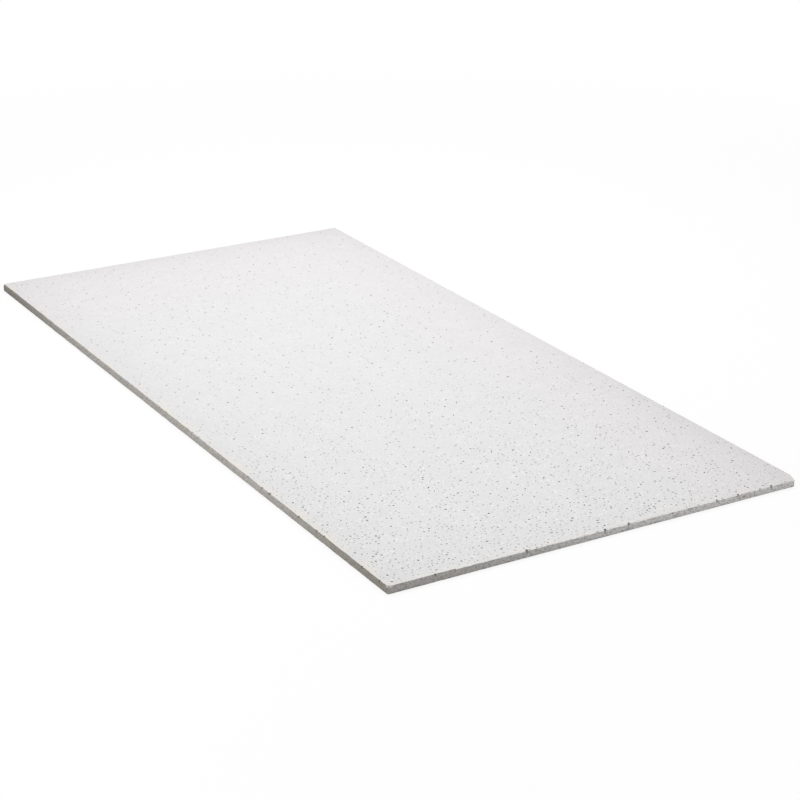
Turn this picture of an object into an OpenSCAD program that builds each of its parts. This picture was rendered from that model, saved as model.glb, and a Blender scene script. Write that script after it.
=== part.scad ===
// Suspended ceiling tile: a lay-in mineral fibre board with a fissured and pin-punched face.
// The board lies face up on its plain back, with its long side along Y.

/* [Board] */
// Width of the board across its short side
tile_w = 603; // [295:1:625]
// Length of the board along its long side
tile_l = 1212; // [595:1:1250]
// Thickness from the back to the face
tile_t = 10; // [8:0.5:25]
// Width of the eased arris round the painted face
face_ease = 0.7; // [0.3:0.1:1.2]
// Width of the eased arris round the back
back_ease = 0.4; // [0.2:0.1:1.2]
// Rounding of the four upright corners
corner_r = 2.5; // [1:0.5:5]

/* [Fissures] */
// Length of the longest fissure
fissure_len = 5.5; // [5:0.5:14]
// Length of the shortest fissure
fissure_len_min = 3; // [3:0.5:4.5]
// Width of the broadest fissure
fissure_w = 3.2; // [2:0.1:3.5]
// Depth of a fissure below the face
fissure_depth = 2.5; // [1:0.5:4]

/* [Pinholes] */
// Mouth of the widest pinhole
pinhole_d = 3.6; // [2.4:0.1:4]
// Mouth of the narrowest pinhole
pinhole_d_min = 1.6; // [1.4:0.1:2.3]
// Tip of a pinhole as a share of its mouth
pinhole_taper = 0.45; // [0.3:0.05:0.9]
// Depth of the deepest pinhole below the face
pinhole_depth = 5; // [2:0.5:6]

/* [Scatter] */
// Least side of the cell in which one fissure or one pinhole lies
cell = 24; // [22:1:60]
// Least width of whole face left between two neighbours
web = 1.5; // [1:0.5:3]
// Share of the cells that hold a fissure
fissure_share = 0.2; // [0.1:0.05:0.4]
// Share of the cells left blank
blank_share = 0.1; // [0:0.05:0.3]
// Width of the band along the edges where only pits cut by the saw lie
edge_band = 6; // [5:0.5:12]
// Least length of edge for one cut pit, which shows as a notch
notch_run = 50; // [30:1:120]
// Share of those lengths that hold a notch
notch_share = 0.75; // [0.2:0.05:1]
// Widest notch
notch_d = 4; // [3:0.1:5]
// Another number gives another scatter
scatter = 7; // [1:1:50]

/* [Hidden] */
$fn = 24;
over = 1;
outline_points = 8;
fissure_ragged = 0.55;
fissure_slim = 0.6;
pinhole_shallow = 0.7;
pinhole_skew = 2;
paint = "whitesmoke";
field = [tile_w - 2 * edge_band, tile_l - 2 * edge_band];
columns = floor(field.x / cell);
rows = floor(field.y / cell);
pitch = [field.x / columns, field.y / rows];
scatter_step = [127.1713, 311.7391, 74.7037];
scatter_gain = 43758.5453;
// Which throw of the dice settles what
kind_throw = 1;
size_throw = 2;
x_throw = 3;
y_throw = 4;
slim_throw = 5;
turn_throw = 6;
depth_throw = 7;
outline_throw = 20;
edge_throw = 40;

// A number from 0 to 1 that looks random but is always the same for one cell and one throw
function chance(i, j, throw) =
    let (wave = scatter_gain * sin([i, j, throw + scatter] * scatter_step))
    wave - floor(wave);

function between(low, high, share) = low + (high - low) * share;

// Place in a row of equal cells, with what lies there kept inside its own cell
function strayed(index, count, run, size, share) =
    (index + 0.5 - count / 2) * run + (share - 0.5) * (run - size - web);

// Cross-section of the board over one of its spans, with eased arrises
function section(span) =
    let (half = span / 2)
    [
        [-half, back_ease],
        [-half + back_ease, 0],
        [half - back_ease, 0],
        [half, back_ease],
        [half, tile_t - face_ease],
        [half - face_ease, tile_t],
        [-half + face_ease, tile_t],
        [-half, tile_t - face_ease]
    ];

// Torn outline: a long oval whose points are drawn in by chance
function fissure_outline(i, j, length, width) = [
    for (k = [0 : outline_points - 1])
        let (
            a = 360 * k / outline_points,
            torn = between(fissure_ragged, 1, chance(i, j, outline_throw + k))
        )
        [length / 2 * cos(a), width / 2 * sin(a) * torn]
];

module plan() {
    square([tile_w - 2 * corner_r, tile_l], center = true);
    square([tile_w, tile_l - 2 * corner_r], center = true);
    for (x = [-1, 1], y = [-1, 1])
        translate([x * (tile_w / 2 - corner_r), y * (tile_l / 2 - corner_r)])
            circle(corner_r);
}

module board() {
    intersection() {
        rotate([90, 0, 0])
            linear_extrude(tile_l, center = true)
                polygon(section(tile_w));
        rotate([90, 0, 90])
            linear_extrude(tile_w, center = true)
                polygon(section(tile_l));
        linear_extrude(tile_t)
            plan();
    }
}

module fissure(i, j, length) {
    width = fissure_w * between(fissure_slim, 1, chance(i, j, slim_throw));
    rotate(180 * chance(i, j, turn_throw))
        translate([0, 0, tile_t - fissure_depth])
            linear_extrude(fissure_depth + over)
                polygon(fissure_outline(i, j, length, width));
}

module pinhole(i, j, mouth) {
    depth = pinhole_depth * between(pinhole_shallow, 1, chance(i, j, depth_throw));
    tip = mouth * pinhole_taper;
    flare = (mouth - tip) / depth * over;
    translate([0, 0, tile_t - depth])
        cylinder(h = depth + over, d1 = tip, d2 = mouth + flare);
}

// The one fissure or pinhole of a cell, with wide pinholes rarer than narrow ones
module pit(i, j) {
    kind = chance(i, j, kind_throw);
    torn = kind < fissure_share;
    share = chance(i, j, size_throw);
    size = torn
        ? between(fissure_len_min, fissure_len, share)
        : between(pinhole_d_min, pinhole_d, pow(share, pinhole_skew));
    x = strayed(i, columns, pitch.x, size, chance(i, j, x_throw));
    y = strayed(j, rows, pitch.y, size, chance(i, j, y_throw));
    if (kind < 1 - blank_share)
        translate([x, y])
            if (torn)
                fissure(i, j, size);
            else
                pinhole(i, j, size);
}

// Pinholes that the saw has cut in half along the edge on the +X side of a board turned to it
module notches(side, span, length) {
    count = floor((length - 2 * edge_band) / notch_run);
    run = (length - 2 * edge_band) / count;
    for (k = [0 : count - 1])
        if (chance(k, side, edge_throw + kind_throw) < notch_share) {
            mouth = between(pinhole_d_min, notch_d, chance(k, side, edge_throw + size_throw));
            along = strayed(k, count, run, mouth, chance(k, side, edge_throw + y_throw));
            translate([span / 2, along])
                pinhole(k, side + edge_throw, mouth);
        }
}

module ceiling_tile() {
    color(paint)
        difference() {
            board();
            for (i = [0 : columns - 1], j = [0 : rows - 1])
                pit(i, j);
            for (side = [0, 2]) {
                rotate(90 * side)
                    notches(side, tile_w, tile_l);
                rotate(90 * side + 90)
                    notches(side + 1, tile_l, tile_w);
            }
        }
}

ceiling_tile();
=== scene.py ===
import math

import bpy
import numpy as np
from mathutils import Matrix, Vector
from mathutils.geometry import delaunay_2d_cdt


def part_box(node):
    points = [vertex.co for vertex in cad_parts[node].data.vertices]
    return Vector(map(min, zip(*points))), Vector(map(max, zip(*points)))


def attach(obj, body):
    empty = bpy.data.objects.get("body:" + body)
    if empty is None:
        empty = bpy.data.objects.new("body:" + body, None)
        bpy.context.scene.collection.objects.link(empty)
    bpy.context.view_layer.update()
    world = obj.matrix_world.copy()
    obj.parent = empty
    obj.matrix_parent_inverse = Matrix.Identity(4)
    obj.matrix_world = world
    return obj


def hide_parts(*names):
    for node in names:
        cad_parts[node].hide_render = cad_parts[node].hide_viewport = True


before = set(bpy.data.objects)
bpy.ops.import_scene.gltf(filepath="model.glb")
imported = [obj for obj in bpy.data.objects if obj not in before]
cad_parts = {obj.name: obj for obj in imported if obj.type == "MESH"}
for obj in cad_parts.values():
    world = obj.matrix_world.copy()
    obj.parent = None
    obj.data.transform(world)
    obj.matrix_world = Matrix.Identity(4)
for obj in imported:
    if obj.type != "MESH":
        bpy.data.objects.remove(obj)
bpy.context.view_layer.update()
mm = 1000  # millimetres in a metre
low, high = (np.array(corner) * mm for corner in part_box("ceiling_tile"))  # the board, in millimetres
half = (high - low)[:2] / 2
halfWide, halfLong = (half / mm).tolist()  # in metres, for the finishes
thick = high[2] - low[2]
dice = np.random.default_rng(21)  # one fixed seed, so that each run gives the same board
print("board", (high - low).round(2))


def between(least, most, share):
    return least + (most - least) * share


def lengthOf(vectors):
    return np.linalg.norm(vectors, axis=-1)


# Scatter of the board's larger pits, by the same rule as its solid
scatter = dict(
    cell=24.0, web=1.5, band=6.0, fissureShare=0.2, blankShare=0.1, seed=7,
    step=(127.1713, 311.7391, 74.7037), gain=43758.5453,
    fissureLength=(3.0, 5.5), fissureWidth=3.2, fissureSlim=0.6, fissureRagged=0.55, fissureDepth=2.5,
    mouth=(1.6, 3.6), mouthSkew=2.0, taper=0.45, depth=5.0, shallow=0.7,
    notchRun=50.0, notchShare=0.75, notchMouth=(1.6, 4.0), outlinePoints=8)

# Which throw settles what
throws = dict(kind=1, size=2, x=3, y=4, slim=5, turn=6, depth=7, outline=20, edge=40)


# Chance: the fraction left of a very large sine of cell and throw
def chance(i, j, throw):
    step = scatter["step"]
    angle = i * step[0] + j * step[1] + (throw + scatter["seed"]) * step[2]
    wave = scatter["gain"] * np.sin(np.radians(angle))
    return wave - np.floor(wave)


# Place in a row of equal cells: the cell's middle, strayed by what room the pit leaves
def strayed(index, count, run, size, share):
    return (index + 0.5 - count / 2) * run + (share - 0.5) * (run - size - scatter["web"])


# Larger pits: at most one in each cell of a grid over the face, a torn fissure or a round pinhole
def boardPits():
    field = 2 * (half - scatter["band"])
    counts = (field // scatter["cell"]).astype(int)
    pitch = field / counts
    i, j = (grid.ravel() for grid in np.meshgrid(*map(np.arange, counts), indexing="ij"))

    def luck(name):
        return chance(i, j, throws[name])

    kind, share = luck("kind"), luck("size")
    torn = kind < scatter["fissureShare"]
    size = np.where(torn, between(*scatter["fissureLength"], share),
                    between(*scatter["mouth"], share ** scatter["mouthSkew"]))
    centre = np.stack((strayed(i, counts[0], pitch[0], size, luck("x")),
                       strayed(j, counts[1], pitch[1], size, luck("y"))), -1)
    width = scatter["fissureWidth"] * between(scatter["fissureSlim"], 1, luck("slim"))
    outline = throws["outline"] + np.arange(scatter["outlinePoints"])
    ragged = between(scatter["fissureRagged"], 1, chance(i[:, None], j[:, None], outline))
    pinholeDepth = scatter["depth"] * between(scatter["shallow"], 1, luck("depth"))
    pits = dict(centre=centre, long=size / 2, wide=np.where(torn, width, size) / 2, torn=torn,
                turn=np.pi * luck("turn"), deep=np.where(torn, scatter["fissureDepth"], pinholeDepth),
                ragged=np.where(torn[:, None], ragged, 1.0))
    kept = kind < 1 - scatter["blankShare"]
    return {name: values[kept] for name, values in pits.items()}


# Half pits cut by the saw: a place on each edge in turn, quarter turn by quarter turn
def boardNotches():
    found = []
    for side in range(4):
        across, along = half if side % 2 == 0 else half[::-1]
        length = 2 * (along - scatter["band"])
        count = int(length // scatter["notchRun"])
        k = np.arange(count)
        kind, size, stray = (chance(k, side, throws["edge"] + throws[name]) for name in ("kind", "size", "y"))
        mouth = between(*scatter["notchMouth"], size)
        place = strayed(k, count, length / count, mouth, stray)
        shallow = chance(k, side + throws["edge"], throws["depth"])
        deep = scatter["depth"] * between(scatter["shallow"], 1, shallow)
        turn = np.pi / 2 * side
        spot = np.stack((across * np.cos(turn) - place * np.sin(turn),
                         across * np.sin(turn) + place * np.cos(turn)), -1)
        found.append(np.column_stack((spot, mouth, deep))[kind < scatter["notchShare"]])
    return np.concatenate(found)


# Fine dimples between the larger pits, thrown at random where there is room: fewer and finer towards the
# far end, fewer to the right, and closest and deepest along the left and front edges
dimples = dict(
    throws=44000, mouth=(1.8, 5.6), mouthSkew=(1.3, 2.4), deep=(0.2, 3.8), deepSkew=(1.0, 4.2),
    slimShare=0.18, slimLength=(3.4, 7.0), slimWide=0.6,
    gap=1.0, edge=3.0, loopGap=1.8, corner=12.0,  # room to other pits, the edge, its line and the corners
    thinning=0.85, patch=80.0, contrast=1.3,
    waveTurns=(0.3, 1.4, 2.2, 2.9, 0.9), wavePaces=(0.6, 0.9, 1.3, 1.7, 2.3), waveShift=7,
    farRun=(-600.0, -60.0), farFiner=0.22, farFewer=0.9, rightFewer=0.42,
    dense=(-230.0, -500.0), deeper=0.35,  # closer and deeper to the left of, and before, this place
    notches=40, notchMouth=(1.2, 2.8), notchDeep=(0.8, 3.0), notchSkew=(1.2, 2.0))


def fineNotches(points):  # small pits cut by the saw, thrown along the outline
    count = dimples["notches"]
    spot = points[dice.integers(0, len(points), count)]
    mouth = between(*dimples["notchMouth"], dice.random(count))
    deep = between(*dimples["notchDeep"], dice.beta(*dimples["notchSkew"], count))
    return np.column_stack((spot, mouth, deep))


# Patches: a sum of slow waves in plan, from 0 to 1, where dimples lie closer or wider
def patchiness(spot):
    turns = np.array(dimples["waveTurns"])
    pace = 2 * np.pi / dimples["patch"] * np.array(dimples["wavePaces"])
    phase = spot[:, :1] * np.cos(turns) * pace + spot[:, 1:] * np.sin(turns) * pace
    phase = phase + turns * dimples["waveShift"]
    return 0.5 + 0.5 * np.tanh(np.sin(phase).sum(1) * dimples["contrast"])


def inward(spot):  # from 0 at the left and front edges, where dimples lie closest, to 1 farther in
    dense = np.array(dimples["dense"])
    return 1 - np.clip((dense - spot) / (dense + half), 0, 1).max(1)


# Gap from each spot to each pit, which counts as a stadium of its length and width
def gapTo(spot, pits):
    turned = np.stack((np.cos(pits["turn"]), np.sin(pits["turn"])), -1)
    reach = (pits["long"] - pits["wide"])[:, None] * turned
    line = np.maximum((reach ** 2).sum(-1), 1e-9)  # kept above 0, as a round pit has no line
    apart = spot[:, None] - pits["centre"][None]
    along = np.clip((apart * reach).sum(-1) / line, -1, 1)
    return lengthOf(apart - along[..., None] * reach) - pits["wide"]


# Room: a dimple keeps clear of the edge, the corners, the larger pits and the notches in the edge
def hasRoom(spot, long, pits, loop):
    toEdge = half - np.abs(spot)
    clear = (toEdge.min(1) > long + dimples["edge"]) & (toEdge.max(1) > dimples["corner"])
    clear &= gapTo(spot, pits).min(1) > long + dimples["gap"]
    beside = toEdge.min(1) < dimples["corner"]
    toLoop = lengthOf(spot[beside][:, None] - loop).min(1)
    clear[beside] &= toLoop > long[beside] + dimples["loopGap"]
    return clear


def standsAlone(spot, long):  # of two dimples that touch, the later one goes
    place = spot.astype(np.float32)
    crowded = lengthOf(place[:, None] - place[None]) < long[:, None] + long[None] + dimples["gap"]
    return ~np.tril(crowded, -1).any(1)


def finePits(pits, loop):
    count = dimples["throws"]
    spot = dice.uniform(-1, 1, (count, 2)) * half
    far = np.clip((spot[:, 1] - dimples["farRun"][0]) / np.ptp(dimples["farRun"]), 0, 1)
    right = (spot[:, 0] / half[0] + 1) / 2
    share = 1 - dimples["thinning"] * patchiness(spot) * inward(spot)
    share = share * (1 - dimples["farFewer"] * far) * (1 - dimples["rightFewer"] * right * inward(spot))
    picked = dice.random(count) < share
    spot, finer = spot[picked], 1 - dimples["farFiner"] * far[picked]
    count = len(spot)
    radius = between(*dimples["mouth"], dice.beta(*dimples["mouthSkew"], count)) / 2 * finer
    slim = dice.random(count) < dimples["slimShare"]
    stretched = between(*dimples["slimLength"], dice.random(count)) / 2 * finer
    long = np.where(slim, np.maximum(stretched, radius), radius)
    clear = hasRoom(spot, long, pits, loop)
    spot, radius, long = spot[clear], radius[clear], long[clear]
    alone = standsAlone(spot, long)
    spot, radius, long = spot[alone], radius[alone], long[alone]
    wide = np.where(long > radius, radius * dimples["slimWide"], radius)
    turn = dice.uniform(0, np.pi, len(spot))
    deep = between(*dimples["deep"], dice.beta(*dimples["deepSkew"], len(spot)))
    deep = deep * (1 + dimples["deeper"] * (1 - inward(spot)))
    return dict(centre=spot, long=long, wide=wide, turn=turn, deep=deep, ragged=np.ones((len(spot), 1)))


class Shell:  # gathers points and triangles of one mesh, with a finish for each triangle
    def __init__(self):
        self.points, self.tris, self.finishes, self.count = [], [], [], 0

    def add(self, points):  # gives back the points' numbers in the same grid
        shape = points.shape[:-1]
        self.points.append(points.reshape(-1, 3))
        numbers = self.count + np.arange(np.prod(shape, dtype=int)).reshape(shape)
        self.count += numbers.size
        return numbers

    def face(self, tris, finish):  # one finish, or one for each triangle
        self.finishes.append(np.broadcast_to(finish, tris.shape[:-1]).ravel())
        self.tris.append(tris.reshape(-1, 3))

    def band(self, first, second, finish):  # closed bands of quads between two sets of rings
        nextFirst, nextSecond = np.roll(first, -1, -1), np.roll(second, -1, -1)
        self.face(np.stack((first, nextFirst, nextSecond), -1), finish)
        self.face(np.stack((first, nextSecond, second), -1), finish)

    def fan(self, ring, middle, finish):  # closed fans from rings to their middles
        middle = np.broadcast_to(middle[..., None], ring.shape)
        self.face(np.stack((ring, np.roll(ring, -1, -1), middle), -1), finish)

    def mesh(self, name, finishes):
        mesh = bpy.data.meshes.new(name)
        mesh.from_pydata(np.concatenate(self.points) / mm, [], np.concatenate(self.tris).tolist())
        for finish in finishes:
            mesh.materials.append(finish)
        mesh.polygons.foreach_set("material_index", np.concatenate(self.finishes).astype(np.int32))
        return mesh


# The finishes by their number in the mesh
(paintSide, lipHighlightSide, fibreSide, tornSide, notchSide,
 deepSide, pitSide, fineSide, backSide) = range(9)

# Rings below each rim as shares of its width and depth, and the width of the lip round it
pitShape = dict(wobble=0.12,
                fissure=dict(points=10, rings=((0.92, 0.2), (0.7, 0.88)), lip=0.5, finish=deepSide),
                pinhole=dict(points=7, rings=((0.5, 0.9),), lip=0.5, finish=pitSide),
                fine=dict(points=5, rings=(), lip=0.4, finish=fineSide))


# Rims: an oval of the pit's length and width, its points drawn in by its ragged share, turned and placed
def pitRims(pits, points):
    angle = 2 * np.pi * np.arange(points) / points
    base = pits["ragged"].shape[1]
    place = np.arange(points) * base / points
    first = np.floor(place).astype(int)
    share = place - first
    drawn = pits["ragged"][:, first] * (1 - share) + pits["ragged"][:, (first + 1) % base] * share
    drawn = drawn * (1 - pitShape["wobble"] * dice.random(drawn.shape))
    x = pits["long"][:, None] * np.cos(angle) * np.sqrt(drawn)
    y = pits["wide"][:, None] * np.sin(angle) * drawn
    cos, sin = np.cos(pits["turn"])[:, None], np.sin(pits["turn"])[:, None]
    return np.stack((x * cos - y * sin, x * sin + y * cos), -1) + pits["centre"][:, None]


# Rings: the rim shrunk towards its middle by a share and lowered by a depth
def pitRing(rims, share, depth):
    middle = rims.mean(1, keepdims=True)
    plan = middle + (rims - middle) * share
    return np.concatenate((plan, np.broadcast_to(thick - depth, plan.shape[:-1])[..., None]), -1)


# Pits: bands from rim to ring, a fan to the bottom's middle and a flat lip round the mouth, whose paler paint
# is a painted highlight
def addPits(shell, pits, points, rings, lip, finish):
    rims = pitRims(pits, points)
    deep = pits["deep"][:, None]
    rim = shell.add(pitRing(rims, 1.0, 0 * deep))
    last = rim
    for share, depth in rings:
        ring = shell.add(pitRing(rims, share, deep * depth))
        shell.band(last, ring, finish)
        last = ring
    shell.fan(last, shell.add(np.concatenate((rims.mean(1), thick - deep), -1)), finish)
    away = rims - rims.mean(1, keepdims=True)
    outer = rims + lip * away / lengthOf(away)[..., None]
    lipRim = shell.add(pitRing(outer, 1.0, 0 * deep))
    shell.band(lipRim, rim, lipHighlightSide)
    return outer, lipRim


# The cut edge: an outline in plan carried up a profile
edge = dict(
    step=0.8, keepEvery=4, cornerPoints=(10, 6, 10, 4),
    cornerReach=((3.0, 3.0), (5.2, 15.0), (3.0, 3.0), (4.0, 4.0)),  # in turn: near, right, far, left
    cornerPower=(2.0, 1.0, 2.0, 1.15),  # 2 for a round corner, near 1 for a clipped one
    frontNormal=-0.9, leftNormal=-0.5,  # an edge whose normal is below this faces front or left
    backEase=0.4, rows=6, arrisRows=4, ease=0.7, frontEase=1.1, wornEase=(0.8, 2.1),
    lap=0.5, frontLap=0.75, frontRun=(-210.0, -100.0), leastLap=0.02, raggedLap=0.3, lapPasses=3, spread=60,
    rough=0.3, lumpGain=0.7, lumpDrop=0.1, lumpPasses=1, backRough=0.3, arrisRough=0.7,
    wave=0.16, wavePasses=12, rowStray=0.3, torn=0.5, deepReach=2.4, rubbedFrom=-250.0,
    crushReach=9.0, crushIn=3.2, crushDown=0.5, crushFade=1.5, crushRise=4,
    nicks=90, nickWide=(0.9, 3.0), nickDeep=(0.2, 1.0), nickSkew=(1.2, 2.5), nickReach=2, nickDown=1.8)


# Outline: straight runs joined by corners, each a quarter of a superellipse of its own reach and power
def boardOutline():
    signs = np.array([(-1, -1), (1, -1), (1, 1), (-1, 1)])
    corners = []
    for k in range(4):
        angle = np.pi * (1 + k / 2) + np.linspace(0, np.pi / 2, edge["cornerPoints"][k])
        turned = np.stack((np.cos(angle), np.sin(angle)), -1)
        reach = np.array(edge["cornerReach"][k])
        bulge = np.sign(turned) * np.abs(turned) ** (2 / edge["cornerPower"][k])
        corners.append(signs[k] * (half - reach) + reach * bulge)
    points = []
    for corner, after in zip(corners, corners[1:] + corners[:1]):
        steps = int(np.linalg.norm(after[0] - corner[-1]) // edge["step"])
        points += [corner, between(corner[-1], after[0], np.arange(1, steps)[:, None] / steps)]
    isCorner = [np.full(len(run), k % 2 == 0) for k, run in enumerate(points)]
    return np.concatenate(points), np.concatenate(isCorner)


def spreadAlong(values, passes):  # half of each value stays, and a quarter comes from each neighbour
    for _ in range(passes):
        values = values / 2 + (np.roll(values, 1, -1) + np.roll(values, -1, -1)) / 4
    return values


def smoothed(noise, passes):
    noise = spreadAlong(noise, passes)
    return noise / noise.std()


# How the paint ends along the edge: rounded and bare on the left, lapped down on the front
def paintLine(points, normals):
    front, left = normals[:, 1] < edge["frontNormal"], normals[:, 0] < edge["leftNormal"]
    bare = front & (points[:, 0] < edge["frontRun"][0])
    farther = (points[:, 1] + half[1]) / (2 * half[1])
    rightward = np.clip((points[:, 0] - edge["frontRun"][0]) / np.ptp(edge["frontRun"]), 0, 1)
    ease = np.where(bare, edge["frontEase"], edge["ease"])
    ease = np.where(left, between(*edge["wornEase"], farther), ease)
    lap = np.where(front, edge["frontLap"] * rightward, edge["lap"])
    lap = np.where(left, 0.0, lap)
    ease, lap = spreadAlong(ease, edge["spread"]), spreadAlong(lap, edge["spread"])
    ragged = smoothed(dice.normal(size=len(points)), edge["lapPasses"])
    lap = np.clip(lap * (1 + edge["raggedLap"] * ragged), edge["leastLap"], None)
    return ease, lap, left | bare


def edgeNicks(points):  # small chips of the upper edge: their places, widths and depths
    count = edge["nicks"]
    wide = between(*edge["nickWide"], dice.random(count))
    deep = between(*edge["nickDeep"], dice.beta(*edge["nickSkew"], count))
    return points[dice.integers(0, len(points), count)], wide, deep


# Edge line: the outline, with how far each point lies from the notches, the nicks and the crushed tip,
# and with fewer points where nothing is near
def edgeLine():
    points, isCorner = boardOutline()
    along = np.roll(points, -1, 0) - np.roll(points, 1, 0)
    normals = np.stack((along[:, 1], -along[:, 0]), -1) / lengthOf(along)[:, None]
    ease, lap, worn = paintLine(points, normals)
    straight = points[(half - np.abs(points)).max(1) > dimples["corner"]]  # small marks keep off the corners
    notches = np.concatenate((boardNotches(), fineNotches(straight)))
    nicks, nickWide, nickDeep = edgeNicks(straight)
    tip = points[edge["cornerPoints"][0] // 2]
    toNotch = lengthOf(points[:, None] - notches[None, :, :2])
    toNick = lengthOf(points[:, None] - nicks[None]) / nickWide
    toTip = lengthOf(points - tip)
    kept = isCorner | (toTip < edge["crushReach"]) | (np.arange(len(points)) % edge["keepEvery"] == 0)
    kept |= (toNotch < notches[:, 2] / 2 + edge["step"]).any(1) | (toNick < edge["nickReach"]).any(1)
    line = dict(points=points, normals=normals, ease=ease, lap=lap, worn=worn,
                toNotch=toNotch, toNick=toNick, toTip=toTip)
    line = {name: values[kept] for name, values in line.items()}
    return dict(line, notches=notches, nickDeep=nickDeep, tip=tip)


# Profile: heights from back to face, how far in the edge is eased at each, and its share of the roughness
def edgeProfile(ease, lap):
    turn = np.linspace(0, np.pi / 2, edge["arrisRows"])[:, None]
    arris = thick - ease * (1 - np.sin(turn))
    fibreRows = between(edge["backEase"], arris[0] - lap, np.linspace(0, 1, edge["rows"] + 1)[:, None])
    backRow = np.zeros((1, len(ease)))
    heights = np.concatenate((backRow, fibreRows, arris))
    eased = np.concatenate((backRow + edge["backEase"], 0 * fibreRows, ease * (1 - np.cos(turn))))
    rowShare = np.concatenate(([edge["backRough"]], np.ones(edge["rows"] + 1),
                               edge["arrisRough"] * np.cos(turn[:, 0])))
    return heights, eased, rowShare[:, None]


# Edge surface: the outline at each height, drawn in along its normals by profile, roughness, notches
# and nicks, and pressed in at the crushed corner
def addEdge(shell):
    line = edgeLine()
    points, worn, notches = line["points"], line["worn"], line["notches"]
    heights, eased, rowShare = edgeProfile(line["ease"], line["lap"])
    rows, count = heights.shape
    below = thick - heights
    lumps = smoothed(dice.normal(size=(rows, count)), edge["lumpPasses"])
    rough = edge["rough"] * np.clip(lumps * edge["lumpGain"] - edge["lumpDrop"], 0, None) * rowShare
    rough = rough + edge["wave"] * np.clip(smoothed(dice.normal(size=count), edge["wavePasses"]), 0, None)
    radius = notches[:, 2] / 2 * (1 - (1 - scatter["taper"]) * below[..., None] / notches[:, 3])
    radius = np.where(below[..., None] < notches[:, 3], radius, 0)
    bite = np.sqrt(np.clip(radius ** 2 - line["toNotch"] ** 2, 0, None)).max(-1)
    nick = (line["nickDeep"] * np.exp(-line["toNick"] ** 2 / 2)).max(-1)
    nick = nick * np.exp(-(below / edge["nickDown"]) ** 2)
    crush = np.clip(1 - line["toTip"] / edge["crushReach"], 0, 1) ** edge["crushFade"]
    crush = crush * (heights / thick) ** edge["crushRise"]
    crushed = edge["crushIn"] * crush
    diagonal = -np.sign(line["tip"]) / np.sqrt(2)  # the crushed corner gives way along it
    inset = eased + np.maximum(rough, bite) + nick
    plan = points - line["normals"] * inset[..., None] + crushed[..., None] * diagonal
    stray = edge["rowStray"] * dice.uniform(-1, 1, (rows, count))
    stray[0] = stray[-edge["arrisRows"] - 1:] = 0
    z = heights + stray - edge["crushDown"] * crush
    rings = shell.add(np.concatenate((plan, z[..., None]), -1))
    pitted = bite > rough + edge["torn"]
    chipped = np.maximum(crushed, nick) > edge["torn"]
    rubbed = worn & (points[:, 1] > edge["rubbedFrom"])  # here the notches are too worn to show
    for row in range(rows - 1):
        coat = np.where(worn | (row <= edge["rows"]), fibreSide, paintSide)
        coat = np.where(chipped[row] | np.roll(chipped[row], -1), tornSide, coat)
        notched = pitted[row:row + 2].any(0)
        # notches take the dimmer fibre, painted shade, except on the worn left edge
        hollow = np.where(worn, fibreSide, deepSide)
        hollow = np.where(below[row + 1] < edge["deepReach"], notchSide, hollow)
        hollow = np.where(rubbed, fibreSide, hollow)
        shell.band(rings[row], rings[row + 1], np.where(notched | np.roll(notched, -1), hollow, coat))
    return plan, rings


# Flat skin: triangles inside an outer loop and outside the rims of the pits in it
def skin(loops, numbers):
    plan = np.concatenate([loop.reshape(-1, 2) for loop in loops])
    number = np.concatenate([grid.ravel() for grid in numbers])
    faces, start = [], 0
    for loop in loops:
        grid = start + np.arange(loop[..., 0].size).reshape(-1, loop.shape[-2])
        faces += grid.tolist()
        start += grid.size
    insideOnly, merge = 1, 1e-6  # the kind of result, and how close two points may lie
    _, _, tris, _, _, owners = delaunay_2d_cdt(plan.tolist(), [], faces, insideOnly, merge)
    outsidePits = np.array([max(owner) for owner in owners]) == 0  # the outer loop is face 0
    return number[np.array(tris)[outsidePits]]


# The board: its cut edge, its pits and dimples, the painted skin between them and the plain back
def boardMesh(finishes):
    shell = Shell()
    plan, rings = addEdge(shell)
    pits = boardPits()
    fine = finePits(pits, plan[-1])
    print("pits", len(pits["centre"]), "fine dimples", len(fine["centre"]))
    torn = pits["torn"]
    groups = dict(fissure={name: values[torn] for name, values in pits.items()},
                  pinhole={name: values[~torn] for name, values in pits.items()}, fine=fine)
    loops, numbers = [plan[-1]], [rings[-1]]
    for name, group in groups.items():
        rims, rim = addPits(shell, group, **pitShape[name])
        loops.append(rims)
        numbers.append(rim)
    shell.face(skin(loops, numbers), paintSide)
    shell.face(skin([plan[0]], [rings[0]])[:, ::-1], backSide)
    return shell.mesh("ceilingTile", finishes)


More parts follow.
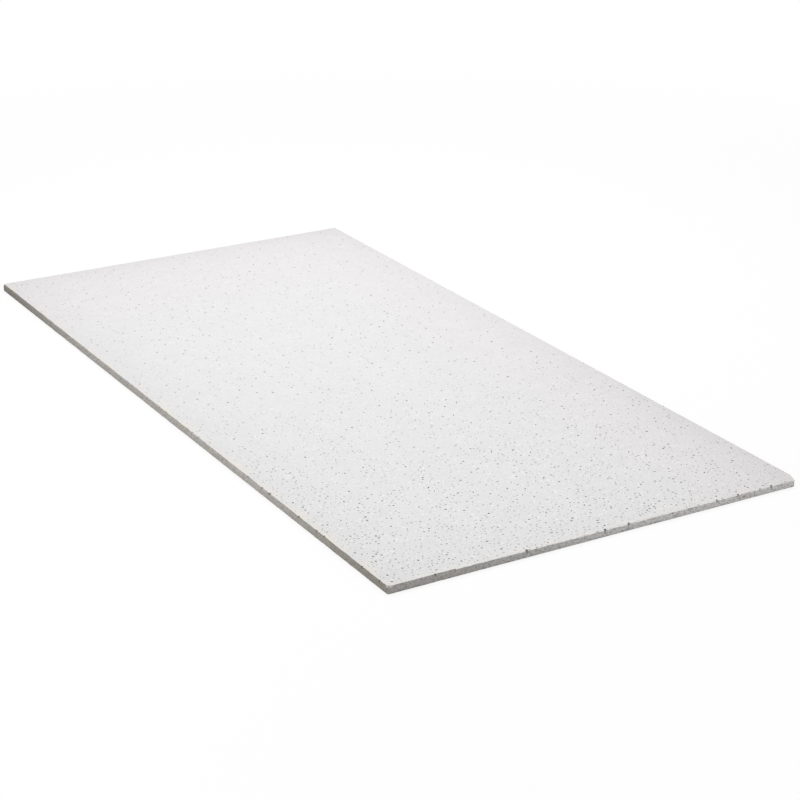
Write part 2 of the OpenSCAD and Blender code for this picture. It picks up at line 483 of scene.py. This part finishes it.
class Wire:  # one socket of a node tree; sums on it add Math nodes
    def __init__(self, tree, socket=None):
        self.tree, self.socket = tree, socket

    def node(self, kind, settings=None, sockets=None, out=0):  # settings first, then values or links
        made = self.tree.nodes.new(kind)
        for name, value in (settings or {}).items():
            setattr(made, name, value)
        for name, value in (sockets or {}).items():
            if isinstance(value, Wire):
                self.tree.links.new(value.socket, made.inputs[name])
            else:
                made.inputs[name].default_value = value
        return Wire(self.tree, made.outputs[out] if made.outputs else None)

    def math(self, operation, first, second=0.0):
        return self.node("ShaderNodeMath", dict(operation=operation), {0: first, 1: second})

    def __add__(self, other):
        return self.math("ADD", self, other)

    __radd__ = __add__

    def __sub__(self, other):
        return self.math("SUBTRACT", self, other)

    def __rsub__(self, other):
        return self.math("SUBTRACT", other, self)

    def __mul__(self, other):
        return self.math("MULTIPLY", self, other)

    __rmul__ = __mul__

    def __truediv__(self, other):
        return self.math("DIVIDE", self, other)

    def blend(self, other, share):  # this much of the one, and the rest of the other
        return self * share + other * (1 - share)

    def step(self, start, end):  # smooth step from 0 at start to 1 at end
        return self.node("ShaderNodeMapRange", dict(interpolation_type="SMOOTHSTEP"),
                         {"Value": self, "From Min": start, "From Max": end})

    def mix(self, first, second, blend="MIX"):  # colour mix by this share, on the node's colour sockets
        return self.node("ShaderNodeMix", dict(data_type="RGBA", blend_type=blend),
                         {"Factor": self, 6: first, 7: second}, 2)


def blank(name):  # an empty material, its wire and its object coordinates
    material = bpy.data.materials.new(name)
    material.use_nodes = True
    material.node_tree.nodes.clear()
    wire = Wire(material.node_tree)
    return material, wire, wire.node("ShaderNodeTexCoord", out="Object")


def closed(material, wire, colour, height, looks):  # ends a material in a matt, bumpy shader
    bump = wire.node("ShaderNodeBump", None,
                     {"Strength": looks["bump"], "Distance": looks["bumpHeight"], "Height": height})
    shader = wire.node("ShaderNodeBsdfPrincipled", None,
                       {"Base Color": colour, "Roughness": looks["rough"], "Normal": bump,
                        "Specular IOR Level": looks["specular"]})
    wire.node("ShaderNodeOutputMaterial", None, {"Surface": shader})
    return material


def speckle(wire, place, size, detail, rough=0.55):  # noise with spots of about this size in millimetres
    return wire.node("ShaderNodeTexNoise", dict(noise_dimensions="3D"),
                     {"Vector": place, "Scale": mm / size, "Detail": detail, "Roughness": rough})


def axis(wire, place, name):
    return wire.node("ShaderNodeSeparateXYZ", None, {0: place}, name)


nearRun = (-0.5, 0.15)  # the pits show less and less along this stretch of the board


def nearness(wire, place):
    return 1 - axis(wire, place, "Y").step(*nearRun)


# Paint; a noise has a size in millimetres and a detail, and a side's painted shade a share and a length
paint = dict(
    colour=(0.790, 0.787, 0.790, 1), shade=(0.750, 0.747, 0.750, 1), chalk=(0.960, 0.955, 0.953, 1),
    cream=(0.835, 0.797, 0.705, 1), edgeShade=(0.33, 0.31, 0.305, 1), blush=(0.80, 0.50, 0.50, 1),
    grain=(2.2, 2.0), mottle=(26.0, 4.0), grainShare=0.6, toneRun=(0.32, 0.64),
    speck=(2.8, 1.0), speckRun=(0.62, 0.72), speckShare=0.9, speckFar=0.65, lipHighlightShare=0.8, lipHighlightFar=0.5,
    dent=6.5, dentSize=(0.10, 0.19), dentPick=(0.35, 1.0), dentShade=0.96,
    creamReach=0.018, creamRun=(0.40, 0.62), creamShare=0.8, creamNear=0.3, rimReach=0.003, rimShare=0.25,
    # painted shade towards each side: a share and a length for each
    left=(0.095, 0.055), right=(0.19, 0.05), near=(0.05, 0.05), far=(0.13, 0.05), rightFar=0.5,
    blushShare=0.04, blushRight=(0.0, 0.25), blushFar=(0.15, 0.5),
    bump=0.12, bumpHeight=0.0004, rough=0.92, specular=0.25)


# Face paint: two greys by grain and mottle, chalky specks, filled dents with painted shade, a creamy
# border on the left and front, painted shade towards each side, a painted highlight on the lips and a faint
# blush to the right and the far end
def facePaint(name, lip=False):
    material, wire, place = blank(name)
    x, y, near = axis(wire, place, "X"), axis(wire, place, "Y"), nearness(wire, place)
    grain = speckle(wire, place, *paint["grain"])
    mottle = speckle(wire, place, *paint["mottle"])
    chalk = speckle(wire, place, *paint["speck"]).step(*paint["speckRun"])
    chalk = chalk * between(paint["speckFar"], 1, near)
    cells = dict(feature="F1", voronoi_dimensions="2D")
    spot = {"Vector": place, "Scale": mm / paint["dent"]}
    toDent = wire.node("ShaderNodeTexVoronoi", cells, spot)
    pick = wire.node("ShaderNodeTexVoronoi", cells, spot, "Color")
    pick = wire.node("ShaderNodeSeparateColor", None, {0: pick}).step(*paint["dentPick"])
    dent = (1 - toDent.step(*paint["dentSize"])) * pick  # shallow pinholes that the paint has filled, their colour darkened as painted shade
    tone = grain.blend(mottle, paint["grainShare"]).step(*paint["toneRun"]) - dent * paint["dentShade"]
    colour = tone.mix(paint["shade"], paint["colour"])
    colour = (chalk * paint["speckShare"]).mix(colour, paint["chalk"])
    # painted highlight: paler paint on the lip round each pit, less of it at the far end
    if lip:
        colour = (paint["lipHighlightShare"] * between(paint["lipHighlightFar"], 1, near)).mix(colour, paint["chalk"])
    sides = dict(left=x + halfWide, right=halfWide - x, near=y + halfLong, far=halfLong - y)
    border, rim = (wire.math("MAXIMUM", 1 - sides["left"].step(0.0, reach),
                             (1 - sides["near"].step(0.0, reach)) * paint["creamNear"])
                   for reach in (paint["creamReach"], paint["rimReach"]))
    cream = border * mottle.step(*paint["creamRun"]) * paint["creamShare"] + rim * paint["rimShare"]
    colour = cream.mix(colour, paint["cream"])
    for side, away in sides.items():  # painted shade, greyer towards each side: a share that dies away over a length
        share, length = paint[side]
        edgeShade = share * wire.math("POWER", math.e, away * (-1 / length))
        if side == "right":  # less of it at the far end
            edgeShade = edgeShade * between(paint["rightFar"], 1, near)
        colour = edgeShade.mix(colour, paint["edgeShade"])
    blush = wire.math("MAXIMUM", x.step(*paint["blushRight"]), y.step(*paint["blushFar"]))
    colour = (blush * paint["blushShare"]).mix(colour, paint["blush"])
    return closed(material, wire, colour, grain - dent, paint)


# Fibre; a noise has a size in millimetres, a detail and, for some, a roughness
fibre = dict(
    colour=(0.505, 0.497, 0.491, 1), dark=(0.235, 0.227, 0.215, 1), pale=(0.640, 0.627, 0.604, 1),
    tan=(0.950, 0.922, 0.876, 1), endShade=(0.39, 0.365, 0.325, 1), filled=(0.66, 0.655, 0.65, 1),
    clump=(3.0, 3.0, 0.6), speck=(1.4, 3.0, 0.7), clumpShare=0.6, darkRun=(0.34, 0.54), paleRun=(0.54, 0.68),
    sideRun=(0.002, 0.006), rubbed=0.4, blot=(4.0, 1.0), blotRun=(0.60, 0.67), blotDim=0.75,
    # painted shade towards the two ends of the left edge, and less of it on the front: reach, share, clumping
    endShadeReach=0.36, endShadeShare=0.64, endShadeClump=(0.75, 1.25), frontReach=0.10, frontEndShade=0.82,
    fillPatch=(14.0, 0.0), fillRun=(0.30, 0.58), filledShare=0.85,
    bump=0.7, bumpHeight=0.0008, rough=0.95, specular=0.15)

# How bright each kind of bare fibre is, dimmed in notches and pits as painted shade, and how much of it is
# filled with paint
fibreKinds = dict(
    cutFibre=dict(shadeDim=1.0, endShaded=True), tornFibre=dict(shadeDim=1.0), notchShadedFibre=dict(shadeDim=0.45),
    deepShadedFibre=dict(shadeDim=0.42, filled=0.3), pitShadedFibre=dict(shadeDim=0.65, filled=0.3),
    fineShadedFibre=dict(shadeDim=0.95, filled=1.0))


# Painted shade: darker and browner towards the two ends of the left edge, dying away from them; that edge is
# also tanned, rubbed and less blotted
def shadeEdgeEnds(wire, place, colour, clump, scaled):
    x = axis(wire, place, "X") + halfWide
    y = wire.math("ABSOLUTE", axis(wire, place, "Y")) - halfLong
    side = 1 - x.step(*fibre["sideRun"])  # 1 on the left edge, 0 on the others
    reach = fibre["endShadeReach"] + (1 - side) * fibre["frontReach"]
    away = wire.math("SQRT", x * x + y * y)
    # painted shade, darker towards the two ends of the left edge
    endShade = (1 - (away / reach).step(0.0, 1.0)) * fibre["endShadeShare"] * between(fibre["frontEndShade"], 1, side)
    blot = speckle(wire, place, *fibre["blot"]).step(*fibre["blotRun"]) * fibre["blotDim"]
    colour = (side * fibre["rubbed"]).mix(colour, scaled["colour"])
    colour = side.mix(colour, fibre["tan"], "MULTIPLY")
    colour = (endShade * between(*fibre["endShadeClump"], clump)).mix(colour, fibre["endShade"], "MULTIPLY")
    return (blot * (1 - side * fibre["rubbed"])).mix(colour, scaled["dark"])


# Bare fibre: clumps and specks of three greys, dimmed as painted shade in pits and notches, with painted
# shade towards the ends of the left edge, or filled with paint in patches and towards the far end
def bareFibre(name, shadeDim, endShaded=False, filled=0.0):
    material, wire, place = blank(name)
    clump = speckle(wire, place, *fibre["clump"])
    speck = speckle(wire, place, *fibre["speck"])
    # each grey scaled by the dim; below 1 it is painted shade for the pits and notches
    scaled = {key: tuple(c * shadeDim for c in fibre[key][:3]) + (1,) for key in ("colour", "dark", "pale")}
    coarse = clump.blend(speck, fibre["clumpShare"])
    fine = speck.blend(clump, fibre["clumpShare"])
    colour = coarse.step(*fibre["darkRun"]).mix(scaled["dark"], scaled["colour"])
    colour = fine.step(*fibre["paleRun"]).mix(colour, scaled["pale"])
    # painted shade towards the ends of the left edge
    if endShaded:
        colour = shadeEdgeEnds(wire, place, colour, clump, scaled)
    if filled:
        patch = speckle(wire, place, *fibre["fillPatch"]).step(*fibre["fillRun"]) * filled
        share = wire.math("MAXIMUM", 1 - nearness(wire, place), patch) * fibre["filledShare"]
        colour = share.mix(colour, fibre["filled"])
    return closed(material, wire, colour, coarse, fibre)


backing = dict(colour=(0.52, 0.515, 0.49, 1), dark=(0.38, 0.375, 0.355, 1), grain=(1.6, 4.0, 0.65),
               cloud=(40.0, 4.0), grainShare=0.6, darkRun=(0.36, 0.6),
               bump=0.35, bumpHeight=0.0006, rough=0.95, specular=0.15)


def bareBack():
    material, wire, place = blank("bareBack")
    grain = speckle(wire, place, *backing["grain"])
    cloud = speckle(wire, place, *backing["cloud"])
    tone = grain.blend(cloud, backing["grainShare"]).step(*backing["darkRun"])
    return closed(material, wire, tone.mix(backing["dark"], backing["colour"]), grain, backing)


tileFinishes = [facePaint("facePaint"), facePaint("lipHighlightPaint", lip=True)]  # in the order of their numbers
tileFinishes += [bareFibre(name, **kind) for name, kind in fibreKinds.items()]
tileFinishes.append(bareBack())
tileMesh = boardMesh(tileFinishes)
tile = bpy.data.objects.new("ceilingTile", tileMesh)
bpy.context.scene.collection.objects.link(tile)
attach(tile, "root")
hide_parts("ceiling_tile")
print("tile triangles", len(tileMesh.polygons))

studio = dict(floorSize=24.0, floorDrop=0.0003, floorColour=(0.96, 0.96, 0.96, 1), floorLift=0.86,
              floorRun=(0.8, 2.2), white=(1, 1, 1, 1), world=0.35,
              lamps=dict(top=dict(place=(0.27, 0.58, 2.0), aim=(0.0, 0.2, 0.0), size=2.0, power=35.0),
                         left=dict(place=(-1.6, -0.6, 0.68), aim=(-0.3, -0.6, 0.0), size=0.6, power=6.6),
                         front=dict(place=(0.2, -2.0, 0.35), aim=(0.1, -0.6, 0.0), size=0.6, power=7.2)))


def seenStraight(wire):  # 1 for what the camera sees straight, in a mirror or through glass
    camera, glossy, through = (wire.node("ShaderNodeLightPath", out="Is %s Ray" % kind)
                               for kind in ("Camera", "Glossy", "Transmission"))
    return wire.math("MAXIMUM", camera, wire.math("MAXIMUM", glossy, through))


# Floor: pale, mostly plain white to the camera, and all white farther out, so that it keeps a soft shadow
def studioFloor():
    side = studio["floorSize"] / 2
    mesh = bpy.data.meshes.new("floor")
    corners = [(-side, -side), (side, -side), (side, side), (-side, side)]
    mesh.from_pydata([(x, y, -studio["floorDrop"]) for x, y in corners], [], [(0, 1, 2, 3)])
    material, wire, place = blank("paleFloor")
    away = wire.node("ShaderNodeVectorMath", dict(operation="LENGTH"), {0: place}, "Value")
    lift = between(studio["floorLift"], 1, away.step(*studio["floorRun"]))
    matt = wire.node("ShaderNodeBsdfDiffuse", None, {"Color": studio["floorColour"]})
    white = wire.node("ShaderNodeEmission", None, {"Color": studio["white"], "Strength": 1.0})
    shade = wire.node("ShaderNodeMixShader", None, {0: seenStraight(wire) * lift, 1: matt, 2: white})
    wire.node("ShaderNodeOutputMaterial", None, {"Surface": shade})
    mesh.materials.append(material)
    floor = bpy.data.objects.new("floor", mesh)
    bpy.context.scene.collection.objects.link(floor)


# Light: three soft lamps in a dim world, which is plain white to the camera
def studioLight():
    world = bpy.data.worlds.new("studio")
    world.use_nodes = True
    world.node_tree.nodes.clear()
    wire = Wire(world.node_tree)
    strength = between(studio["world"], 1, seenStraight(wire))
    sky = wire.node("ShaderNodeBackground", None, {"Color": studio["white"], "Strength": strength})
    wire.node("ShaderNodeOutputWorld", None, {"Surface": sky})
    bpy.context.scene.world = world
    for name, lamp in studio["lamps"].items():
        light = bpy.data.lights.new(name + "Softbox", "AREA")
        light.shape, light.size, light.energy = "DISK", lamp["size"], lamp["power"]
        softbox = bpy.data.objects.new(name + "Softbox", light)
        softbox.location = lamp["place"]
        towards = Vector(lamp["aim"]) - Vector(lamp["place"])
        softbox.rotation_euler = towards.to_track_quat("-Z", "Y").to_euler()
        softbox.visible_camera = False
        bpy.context.scene.collection.objects.link(softbox)


view = dict(place=(-1.3983, -2.4745, 1.1206), along=(0.473561, 0.796124, -0.376732), roll=0.384,
            lens=96.088, sensor=36.0, clipEnd=100.0)


# Camera: looks along a line from its place, turned about it by the roll
def photoCamera():
    along = Vector(view["along"]).normalized()
    across = along.cross(Vector((0, 0, 1))).normalized()
    down = along.cross(across)
    roll = math.radians(view["roll"])
    right = across * math.cos(roll) - down * math.sin(roll)
    up = -(across * math.sin(roll) + down * math.cos(roll))
    lens = bpy.data.cameras.new("photoCamera")
    lens.lens, lens.sensor_width, lens.clip_end = view["lens"], view["sensor"], view["clipEnd"]
    camera = bpy.data.objects.new("photoCamera", lens)
    turned = Matrix((right, up, -along)).transposed().to_4x4()
    camera.matrix_world = Matrix.Translation(view["place"]) @ turned
    bpy.context.scene.collection.objects.link(camera)
    bpy.context.scene.camera = camera


studioFloor()
studioLight()
photoCamera()
bpy.context.scene.view_settings.view_transform = "Standard"
print("studio ready")
